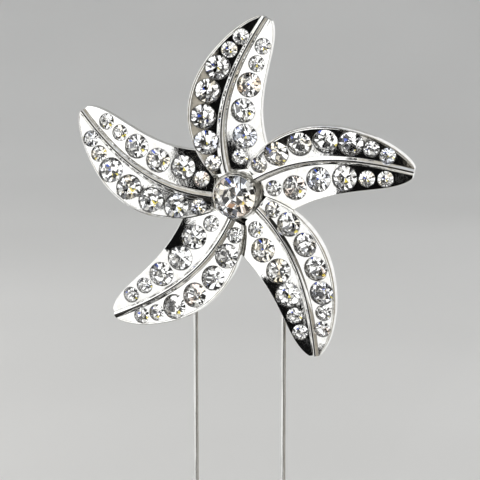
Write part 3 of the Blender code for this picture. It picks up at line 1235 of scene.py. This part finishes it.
@dataclass
class StoneSetting:
    """Stones set by a Geometry Nodes tree: one for each point, square to its seat, spun at random, foiled."""

    crystal: Material
    foil: Material
    cut: RoundCut = RoundCut()
    tree_name: str = "set_round_stones"
    tree: NodeTree = field(init=False)
    pattern: Object = field(init=False)

    def __post_init__(self) -> None:
        """Build the pattern stone and the tree."""
        self.pattern = new_object("pattern_stone", self.cut.build())
        self.tree = self.build_tree()

    def build_tree(self) -> NodeTree:
        """Build the node tree that sets the stones.

        Returns:
            The tree.
        """
        tree = bpy.data.node_groups.new(self.tree_name, "GeometryNodeTree")
        sockets = (("Seats", "Geometry"), ("Stone", "Object"), ("Spin Seed", "Int"), ("Fire Seed", "Int"),
                   ("Crystal", "Material"), ("Foil", "Material"))
        for name, kind in sockets:
            tree.interface.new_socket(name, in_out="INPUT", socket_type=f"NodeSocket{kind}")
        tree.interface.new_socket("Stones", in_out="OUTPUT", socket_type="NodeSocketGeometry")
        given = add_node(tree, "NodeGroupInput")
        stone = add_node(tree, "GeometryNodeObjectInfo", links={"Object": given.outputs["Stone"]})
        facing = add_node(tree, "GeometryNodeInputNamedAttribute", {"data_type": "FLOAT_VECTOR"},
                          inputs={"Name": "facing"})
        size = add_node(tree, "GeometryNodeInputNamedAttribute", {"data_type": "FLOAT"},
                        inputs={"Name": "girdle"})
        spin = add_node(tree, "FunctionNodeRandomValue", {"data_type": "FLOAT"},
                        inputs={2: 0.0, 3: 2.0 * math.pi}, links={"Seed": given.outputs["Spin Seed"]})
        upright = add_node(tree, "FunctionNodeAlignRotationToVector", {"axis": "Z"},
                           links={"Vector": facing.outputs["Attribute"]})
        twist = add_node(tree, "FunctionNodeAxisAngleToRotation", inputs={"Axis": (0.0, 0.0, 1.0)},
                         links={"Angle": spin.outputs[1]})
        stand = add_node(tree, "FunctionNodeRotateRotation", {"rotation_space": "LOCAL"},
                         links={"Rotation": upright.outputs[0], "Rotate By": twist.outputs[0]})
        placed = add_node(tree, "GeometryNodeInstanceOnPoints",
                          links={"Points": given.outputs["Seats"], "Instance": stone.outputs["Geometry"],
                                 "Rotation": stand.outputs[0], "Scale": size.outputs["Attribute"]})
        real = add_node(tree, "GeometryNodeRealizeInstances", links={"Geometry": placed.outputs[0]})
        fire = add_node(tree, "FunctionNodeRandomValue", {"data_type": "FLOAT"},
                        links={"Seed": given.outputs["Fire Seed"]})
        lit = add_node(tree, "GeometryNodeStoreNamedAttribute", {"data_type": "FLOAT", "domain": "FACE"},
                       inputs={"Name": "fire"}, links={"Geometry": real.outputs[0], "Value": fire.outputs[1]})
        clear = add_node(tree, "GeometryNodeSetMaterial",
                         links={"Geometry": lit.outputs[0], "Material": given.outputs["Crystal"]})
        foiled = add_node(tree, "GeometryNodeInputNamedAttribute", {"data_type": "BOOLEAN"},
                          inputs={"Name": "foiled"})
        backed = add_node(tree, "GeometryNodeSetMaterial",
                          links={"Geometry": clear.outputs[0], "Selection": foiled.outputs["Attribute"],
                                 "Material": given.outputs["Foil"]})
        add_node(tree, "NodeGroupOutput", links={0: backed.outputs[0]})
        return tree

    def set_stones(self, name: str, places: Sequence[tuple[Matrix, float]], seed: int) -> Object:
        """Set stones on their seats.

        Args:
            name: Name of the piece.
            places: Frame of each girdle in metres, and the girdle's diameter in metres.
            seed: Seed of the spin and of the fire.

        Returns:
            One plain mesh object with every stone.
        """
        mesh = bpy.data.meshes.new(name)
        mesh.from_pydata([tuple(place.translation) for place, _ in places], [], [])
        facing = mesh.attributes.new("facing", "FLOAT_VECTOR", "POINT")
        facing.data.foreach_set("vector", [value for place, _ in places for value in place.col[2][:3]])
        girdle = mesh.attributes.new("girdle", "FLOAT", "POINT")
        girdle.data.foreach_set("value", [size for _, size in places])
        seats = new_object(f"{name}_seats", mesh)
        modifier = seats.modifiers.new("stones", "NODES")
        modifier.node_group = self.tree
        values = {"Stone": self.pattern, "Spin Seed": seed, "Fire Seed": seed + 1, "Crystal": self.crystal,
                  "Foil": self.foil}
        for item in self.tree.interface.items_tree:
            if item.item_type == "SOCKET" and item.in_out == "INPUT" and item.name in values:
                modifier[item.identifier] = values[item.name]
        return new_object(name, evaluated_mesh(seats))

    def clear_up(self) -> None:
        """Remove the pattern stone once every stone is set."""
        bpy.data.objects.remove(self.pattern, do_unlink=True)


@dataclass
class ArmStones:
    """Thirteen stones on each arm, each a hair out of square as glued stones are."""

    plan: ArmPlan
    names: tuple[str, ...]
    lean_degrees: float = 1.6
    root_radius: float = 9.0
    seed: int = 71
    seed_step: int = 10

    def build(self, setting: StoneSetting) -> None:
        """Set and hand in the stones of the five arms.

        Args:
            setting: The setting tree.
        """
        dice = random.Random(self.seed)
        for number, name in enumerate(self.names):
            turn = STAR_TO_WORLD @ Matrix.Rotation(self.plan.turn * number, 4, "Z")
            places, replaced = [], []
            for seat in SEATS:
                lean = Matrix.Rotation(math.radians(dice.uniform(0.0, self.lean_degrees)), 4, "X")
                spun = Matrix.Rotation(dice.uniform(0.0, 2.0 * math.pi), 4, "Z")
                place = turn @ self.plan.stone_frame(seat.x, seat.y) @ spun @ lean
                place = Matrix.Translation(place.translation) @ place.to_quaternion().to_matrix().to_4x4()
                places.append((place, seat.size.diameter * MM))
                if seat.size is LARGE or math.hypot(seat.x, seat.y) < self.root_radius:
                    replaced.append(f"stone_{name}_{seat.row.value}_{seat.number}")
            piece = setting.set_stones(f"crystals_{name}", places, self.seed + self.seed_step * number)
            hand_in(piece, replaced)


@dataclass
class CentreMount:
    """Turned cup with a burnished lip and a solder fillet, and the large stone in it."""

    girdle_height: float = 0.6
    seed: int = 5
    sides: int = 128
    smooth_angle: float = 50.0
    cup_profile: Pairs = (
        (1.2, -2.98), (4.15, -2.98), (4.3, -2.9), (4.40, -2.6), (4.40, -0.9), (4.32, -0.5), (4.24, 0.0),
        (4.18, 0.4), (4.14, 0.62), (4.12, 0.71), (4.09, 0.76), (4.06, 0.77), (4.04, 0.73), (4.025, 0.66),
        (4.02, 0.5), (4.01, 0.3), (3.9, 0.2), (0.6, -2.72), (0.3, -2.8),
    )
    fillet_profile: Pairs = (
        (4.38, -1.9), (4.50, -1.8), (4.56, -1.5), (4.57, -1.25), (4.53, -1.0), (4.48, -0.78), (4.42, -0.5),
        (4.36, -0.25), (4.28, -0.12), (4.20, -0.2), (4.26, -0.6),
    )
    fillet_lump: float = 0.34
    fillet_spread: float = 0.3
    fillet_twist: float = 0.25
    fillet_rise: float = 0.5
    fillet_waves: tuple[tuple[int, float], ...] = ((2, 1.2), (3, 1.5), (7, 4.1), (13, 2.6), (22, 0.7))

    def fillet(self) -> Mesh:
        """Build the lumpy ring of solder that runs out from the cup onto the arms.

        Returns:
            Its mesh, in metres.
        """
        rings = []
        for step in range(self.sides):
            turn = 2.0 * math.pi * step / self.sides
            ring = []
            for number, (radius, height) in enumerate(self.fillet_profile):
                lump = sum(math.sin(count * turn + phase + self.fillet_twist * number)
                           for count, phase in self.fillet_waves)
                push = self.fillet_lump * lump / len(self.fillet_waves)
                reach = max(radius - self.fillet_profile[0][0], 0.0) / self.fillet_spread
                wide = radius + push * min(reach, 1.0)
                lifted = height + push * self.fillet_rise
                ring.append(to_world((wide * math.cos(turn), wide * math.sin(turn), lifted)))
            rings.append(ring)
        body = bmesh.new()
        skin(body, rings, close=True)
        return close_mesh(body, self.smooth_angle)

    def build(self, setting: StoneSetting, metal: Material, solder: Material) -> None:
        """Build and hand in the cup, its solder and the stone.

        Args:
            setting: The setting tree.
            metal: Finish of the cup.
            solder: Finish of the solder round it.
        """
        cup = lathe(list(self.cup_profile), self.sides, self.smooth_angle)
        cup.transform(STAR_TO_WORLD)
        hand_in(new_object("cup_turned", cup, [metal]), ["centre_cup"])
        hand_in(new_object("cup_fillet", self.fillet(), [solder]), [])
        place = STAR_TO_WORLD @ Matrix.Translation((0.0, 0.0, self.girdle_height))
        place = Matrix.Translation(place.translation) @ place.to_quaternion().to_matrix().to_4x4()
        stone = setting.set_stones("crystal_centre", [(place, CENTRE.diameter * MM)], self.seed)
        hand_in(stone, ["stone_centre"])


@dataclass
class HubPlate:
    """Round plate behind the star that the arms are soldered to, with a turned step and a rounded edge."""

    sides: int = 128
    smooth_angle: float = 40.0
    profile: Pairs = (
        (0.6, -3.1), (6.95, -3.1), (7.12, -3.16), (7.2, -3.3), (7.2, -3.7), (7.14, -3.88), (6.98, -3.98),
        (6.75, -4.0), (6.2, -4.0), (6.05, -3.96), (5.95, -3.86), (5.8, -3.82), (5.65, -3.86), (5.55, -3.95),
        (5.4, -4.0), (1.2, -4.0), (0.9, -3.94), (0.6, -3.9),
    )

    def build(self, metal: Material) -> None:
        """Build and hand in the plate.

        Args:
            metal: Its finish.
        """
        plate = lathe(list(self.profile), self.sides, self.smooth_angle)
        plate.transform(STAR_TO_WORLD)
        hand_in(new_object("plate_turned", plate, [metal]), ["hub_plate"])


@dataclass
class Prongs:
    """Two straight wires with filed, rounded tips, and the solder that holds them behind the arms."""

    spacing: float = 17.3
    radius: float = 0.5
    length: float = 104.5
    sides: int = 32
    smooth_angle: float = 35.0
    tip: Pairs = (
        (0.12, 0.0), (0.26, 0.02), (0.36, 0.07), (0.43, 0.16), (0.475, 0.32), (0.495, 0.6), (0.5, 1.0),
    )
    head: Pairs = ((0.5, 0.3), (0.49, 0.12), (0.45, 0.04), (0.38, 0.0), (0.1, 0.0))
    rings: int = 24
    joints: tuple[tuple[Side, str, float], ...] = (
        (Side.LEFT, "lower", -15.0), (Side.LEFT, "upper", 1.2), (Side.RIGHT, "lower", -10.0),
        (Side.RIGHT, "upper", 1.2),
    )
    bead_length: float = 4.6
    bead_half_width: float = 1.3
    bead_back: float = -5.12
    bead_front_sink: float = 0.25
    bead_rings: int = 15
    bead_sides: int = 28
    bead_lump: float = 0.09
    bead_lump_depth: float = 0.3
    bead_twist: float = 2.4
    bead_roll: float = 3.1
    bead_end: float = 0.06
    bead_end_power: float = 2.6
    bead_waist: float = 0.78
    bead_flare: float = 0.34
    bead_flare_power: float = 1.5
    bead_core: float = 0.35
    bead_smooth_angle: float = 60.0
    bead_draws: int = 4
    seed: int = 23

    def build(self, wire: Material, solder: Material) -> None:
        """Build and hand in both wires and the four beads of solder.

        Args:
            wire: Finish of the wires.
            solder: Finish of the beads.
        """
        for side in Side:
            word, sign = side.value
            start, straight = self.tip[-1][1], self.length - self.tip[-1][1] - self.head[0][1]
            shaft = [(self.radius, start + straight * i / self.rings) for i in range(1, self.rings)]
            profile = list(self.tip) + shaft + [(r, self.length - down) for r, down in self.head]
            mesh = lathe(profile, self.sides, self.smooth_angle)
            place = Matrix.Translation((sign * self.spacing / 2.0 * MM, 0.0, 0.0))
            mesh.transform(place @ Matrix.Scale(MM, 4))
            hand_in(new_object(f"wire_{word}", mesh, [wire]), [f"prong_{word}"])
        dice = random.Random(self.seed)
        for side, level, height in self.joints:
            word, sign = side.value
            mesh = self.bead(sign * self.spacing / 2.0, height, f"solder_lug_{word}_{level}", dice)
            piece = new_object(f"solder_{word}_{level}", mesh, [solder])
            hand_in(piece, [f"solder_lug_{word}_{level}"])

    def bead(self, x: float, y: float, node: str, dice: random.Random) -> Mesh:
        """Lump of solder that wraps the wire and runs out onto the arm's back.

        Args:
            x: Plan place of the wire.
            y: Plan place of the bead's middle.
            node: CAD lug that the bead stands for; its front tells where the arm is.
            dice: Source of the lumps.

        Returns:
            A closed mesh in metres.
        """
        low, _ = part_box(node)
        front = -low.y * PER_MM - FRONT_OFFSET + self.bead_front_sink
        phases = [dice.uniform(0.0, 2.0 * math.pi) for _ in range(self.bead_draws)]
        rings = []
        for i in range(self.bead_rings):
            share = i / (self.bead_rings - 1) * 2.0 - 1.0
            swell = max(math.sqrt(max(1.0 - abs(share) ** self.bead_end_power, 0.0)), self.bead_end)
            ring = []
            for j in range(self.bead_sides):
                turn = 2.0 * math.pi * j / self.bead_sides
                wave = math.sin(2.0 * turn + phases[0] + self.bead_twist * share)
                wave += math.sin(3.0 * turn + phases[1]) * math.cos(self.bead_roll * share + phases[2])
                lump = 1.0 + self.bead_lump * wave
                # The back half hugs the wire; the front half spreads to the arm.
                spread = self.bead_waist + self.bead_flare * max(math.sin(turn), 0.0) ** self.bead_flare_power
                across = math.cos(turn) * self.bead_half_width * spread * swell * lump
                reach = (front + FRONT_OFFSET) if math.sin(turn) > 0.0 else (-FRONT_OFFSET - self.bead_back)
                reach *= self.bead_core + (1.0 - self.bead_core) * swell
                reach *= 1.0 + self.bead_lump_depth * (lump - 1.0)
                forward = min(math.sin(turn) * reach - FRONT_OFFSET, front)
                ring.append(to_world((x + across, y + share * self.bead_length / 2.0, forward)))
            rings.append(ring)
        return loft(rings, self.bead_smooth_angle)


# ---------------------------------------------------------------- studio


@dataclass(frozen=True)
class Card:
    """Curved card round the star, seen only in its reflections."""

    name: str
    azimuth: Pair
    elevation: Pair
    colour: str
    strength: float = 1.0
    lights_paper: bool = False
    distance: float = 0.85


@dataclass
class Studio:
    """Seamless paper, a ring of bright, dim and dark cards, and the camera."""

    cove_radius: float = 1.7
    cove_bend: float = 0.9
    cove_top: float = 1.9
    cove_sides: int = 96
    floor_radii: tuple[float, ...] = (0.001, 0.15, 0.4, 0.7)
    bend_steps: int = 16
    card_steps: int = 12
    lens: float = 145.0
    clip: Pair = (0.01, 20.0)
    bounces: tuple[int, int, int] = (16, 12, 10)
    camera_place: Point = (0.078, -0.3575, 0.1477)
    camera_aim: Point = (0.00096, -0.004, 0.09167)
    world_grey: str = "#C8CBD0"
    world_strength: float = 1.15
    card_lift: float = 0.0008
    cards: tuple[Card, ...] = (
        Card("card_left", (-130.0, -5.0), (-6.0, 18.0), "#FFFFFF", 1.6),
        Card("card_left_top", (-130.0, -5.0), (18.0, 72.0), "#FFFFFF", 1.6, True),
        Card("card_top", (-5.0, 14.0), (27.0, 72.0), "#FFFFFF", 1.4, True),
        Card("card_top_right", (14.0, 62.0), (45.0, 75.0), "#C8C3BA", 1.1, True),
        Card("flag_top_right", (14.0, 50.0), (19.0, 45.0), "#2A2927"),
        Card("card_left_inner", (-5.0, 0.0), (10.0, 27.0), "#FFFFFF", 1.6),
        Card("flag_camera", (-5.0, 14.0), (-6.0, 10.0), "#0C0C0C"),
        Card("flag_camera_top", (0.0, 14.0), (10.0, 27.0), "#0C0C0C"),
        Card("flag_camera_right", (14.0, 26.0), (-6.0, 19.0), "#0C0C0C"),
        Card("card_right_near", (26.0, 34.0), (-6.0, 19.0), "#B5AFA3"),
        Card("card_right_dim", (34.0, 57.0), (-6.0, 19.0), "#85817A"),
        Card("card_right_strip", (57.0, 70.0), (-6.0, 60.0), "#FFFFFF", 1.2),
        Card("card_right_far", (70.0, 128.0), (-6.0, 60.0), "#A9A398"),
        Card("card_right_back", (128.0, 178.0), (-6.0, 60.0), "#FFFFFF", 1.1),
        Card("low_left", (-130.0, -5.0), (-41.0, -6.0), "#FFFFFF", 1.3),
        Card("low_left_dark", (-130.0, -5.0), (-86.0, -41.0), "#2E2C2A"),
        Card("low_flag", (-5.0, 14.0), (-86.0, -6.0), "#0C0C0C"),
        Card("low_flag_right", (14.0, 26.0), (-13.0, -6.0), "#0C0C0C"),
        Card("low_flag_front", (14.0, 17.0), (-28.0, -13.0), "#0C0C0C"),
        Card("low_right_front", (17.0, 26.0), (-28.0, -13.0), "#B5AFA3"),
        Card("low_right_near", (26.0, 34.0), (-28.0, -6.0), "#B5AFA3"),
        Card("low_right_dim", (34.0, 57.0), (-28.0, -6.0), "#85817A"),
        Card("low_right_floor", (14.0, 36.0), (-86.0, -28.0), "#F0EEEA"),
        Card("low_right_edge", (36.0, 44.0), (-86.0, -28.0), "#C8C4BC"),
        Card("low_right_deep", (44.0, 57.0), (-86.0, -28.0), "#9A958B"),
        Card("low_right_strip", (57.0, 70.0), (-86.0, -6.0), "#FFFFFF"),
        Card("low_right_far", (70.0, 128.0), (-86.0, -6.0), "#A9A398"),
        Card("low_right_back", (128.0, 178.0), (-86.0, -6.0), "#FFFFFF"),
    )
    sparkle_tones: tuple[tuple[str, str, float, int], ...] = (
        ("white", "#FFFFFF", 1.45, 70), ("pale", "#DAD9D5", 1.0, 22), ("steel", "#7C7D80", 1.0, 20),
        ("black", "#030303", 1.0, 76), ("amber", "#D98A30", 1.1, 2), ("blue", "#2E50C0", 1.1, 2),
        ("yellow", "#E8D860", 1.1, 1), ("copper", "#B8906E", 1.0, 1),
    )
    sparkle_grid: tuple[int, int] = (36, 20)
    sparkle_elevation: Pair = (-86.0, 86.0)
    sparkle_distance: float = 0.6
    sparkle_seed: int = 12

    def build(self, paper: Material) -> None:
        """Build the set.

        Args:
            paper: Finish of the floor and backdrop.
        """
        self.build_cove(paper)
        for card in self.cards:
            self.build_card(card)
        self.build_sparkle()
        self.build_world()
        self.build_camera()

    def build_cove(self, paper: Material) -> None:
        """Round floor that curves up into the backdrop all the way round.

        Args:
            paper: Its finish.
        """
        profile = [(radius, 0.0) for radius in self.floor_radii]
        for i in range(self.bend_steps + 1):
            turn = math.pi / 2.0 * i / self.bend_steps
            profile.append((self.cove_radius - self.cove_bend * (1.0 - math.sin(turn)),
                            self.cove_bend * (1.0 - math.cos(turn))))
        profile.append((self.cove_radius, self.cove_top))
        body = bmesh.new()
        # Clockwise rings lay the quads with their fronts up.
        loops = skin(body, [list(reversed(circle(r, z, self.cove_sides))) for r, z in profile])
        body.faces.new(list(reversed(loops[0])))
        mesh = to_mesh(body)
        mesh.shade_smooth()
        new_object("paper_cove", mesh, [paper])

    def build_card(self, card: Card) -> None:
        """Build one curved card.

        Args:
            card: Its place and glow.
        """
        mesh = self.shell(card.azimuth, card.elevation, (self.card_steps, self.card_steps), card.distance)
        glow = CardGlow(f"glow_{card.name}", card.colour, card.strength).build()
        piece = new_object(card.name, mesh, [glow])
        piece.visible_camera = False
        piece.visible_shadow = False
        piece.visible_transmission = False
        piece.visible_diffuse = card.lights_paper

    def build_sparkle(self) -> None:
        """Tent of small bright and dark panes that only shows through the stones."""
        mesh = self.shell((-180.0, 180.0), self.sparkle_elevation, self.sparkle_grid, self.sparkle_distance)
        dice = random.Random(self.sparkle_seed)
        shares = [share for *_, share in self.sparkle_tones]
        for face in mesh.polygons:
            face.material_index = dice.choices(range(len(shares)), shares)[0]
        glows = [CardGlow(f"pane_{name}", *glow).build() for name, *glow, _ in self.sparkle_tones]
        piece = new_object("sparkle_tent", mesh, glows)
        piece.visible_camera = False
        piece.visible_shadow = False
        piece.visible_diffuse = False
        piece.visible_glossy = False

    def shell(self, azimuth: Pair, elevation: Pair, steps: tuple[int, int], distance: float) -> Mesh:
        """Patch of a globe round the star, laid on the floor where it would dip below it.

        Args:
            azimuth: Start and end in degrees, to the right of the front.
            elevation: Start and end in degrees.
            steps: Faces across and up.
            distance: Radius of the globe in metres.

        Returns:
            The patch.
        """
        centre = to_world((0.0, 0.0, 0.0))
        across = [azimuth[0] + (azimuth[1] - azimuth[0]) * j / steps[0] for j in range(steps[0] + 1)]
        rows = []
        for i in range(steps[1] + 1):
            tall = math.radians(elevation[0] + (elevation[1] - elevation[0]) * i / steps[1])
            reach = distance if tall >= 0.0 else min(distance, (self.card_lift - centre.z) / math.sin(tall))
            out, up = math.cos(tall), math.sin(tall)
            rows.append([centre + Vector((math.sin(turn) * out, -math.cos(turn) * out, up)) * reach
                         for turn in map(math.radians, across)])
        body = bmesh.new()
        skin(body, rows, wrap=False)
        return to_mesh(body)

    def build_world(self) -> None:
        """Even, dim light from all round."""
        world = bpy.data.worlds.new("studio_air")
        world.use_nodes = True
        back = world.node_tree.nodes["Background"]
        back.inputs["Color"].default_value = hex_colour(self.world_grey)
        back.inputs["Strength"].default_value = self.world_strength
        bpy.context.scene.world = world

    def build_camera(self) -> None:
        """Long lens, a little to the right of the star and above it."""
        data = bpy.data.cameras.new("camera")
        data.lens = self.lens
        data.clip_start, data.clip_end = self.clip
        camera = bpy.data.objects.new("camera", data)
        place, aim = Vector(self.camera_place), Vector(self.camera_aim)
        turn = (aim - place).to_track_quat("-Z", "Y").to_matrix().to_4x4()
        camera.matrix_world = Matrix.Translation(place) @ turn
        bpy.context.scene.collection.objects.link(camera)
        bpy.context.scene.camera = camera
        scene = bpy.context.scene
        scene.view_settings.view_transform = "Standard"
        cycles = scene.cycles
        cycles.max_bounces, cycles.transmission_bounces, cycles.glossy_bounces = self.bounces
        cycles.caustics_reflective = cycles.caustics_refractive = False


def main() -> None:
    """Build every sub-assembly in order."""
    logging.basicConfig(level=logging.INFO, format="%(name)s: %(message)s")
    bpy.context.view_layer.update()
    rhodium, wire, solder = RhodiumPlate().build(), DRAWN_WIRE.build(), PLATED_SOLDER.build()
    plan = ArmPlan()
    arms = ArmCastings(plan)
    arms.build(rhodium)
    setting = StoneSetting(LeadCrystal().build(), MirrorFoil().build())
    ArmStones(plan, arms.names).build(setting)
    CentreMount().build(setting, rhodium, solder)
    setting.clear_up()
    HubPlate().build(rhodium)
    Prongs().build(wire, solder)
    Studio().build(StudioPaper().build())


if __name__ == "__main__":
    main()
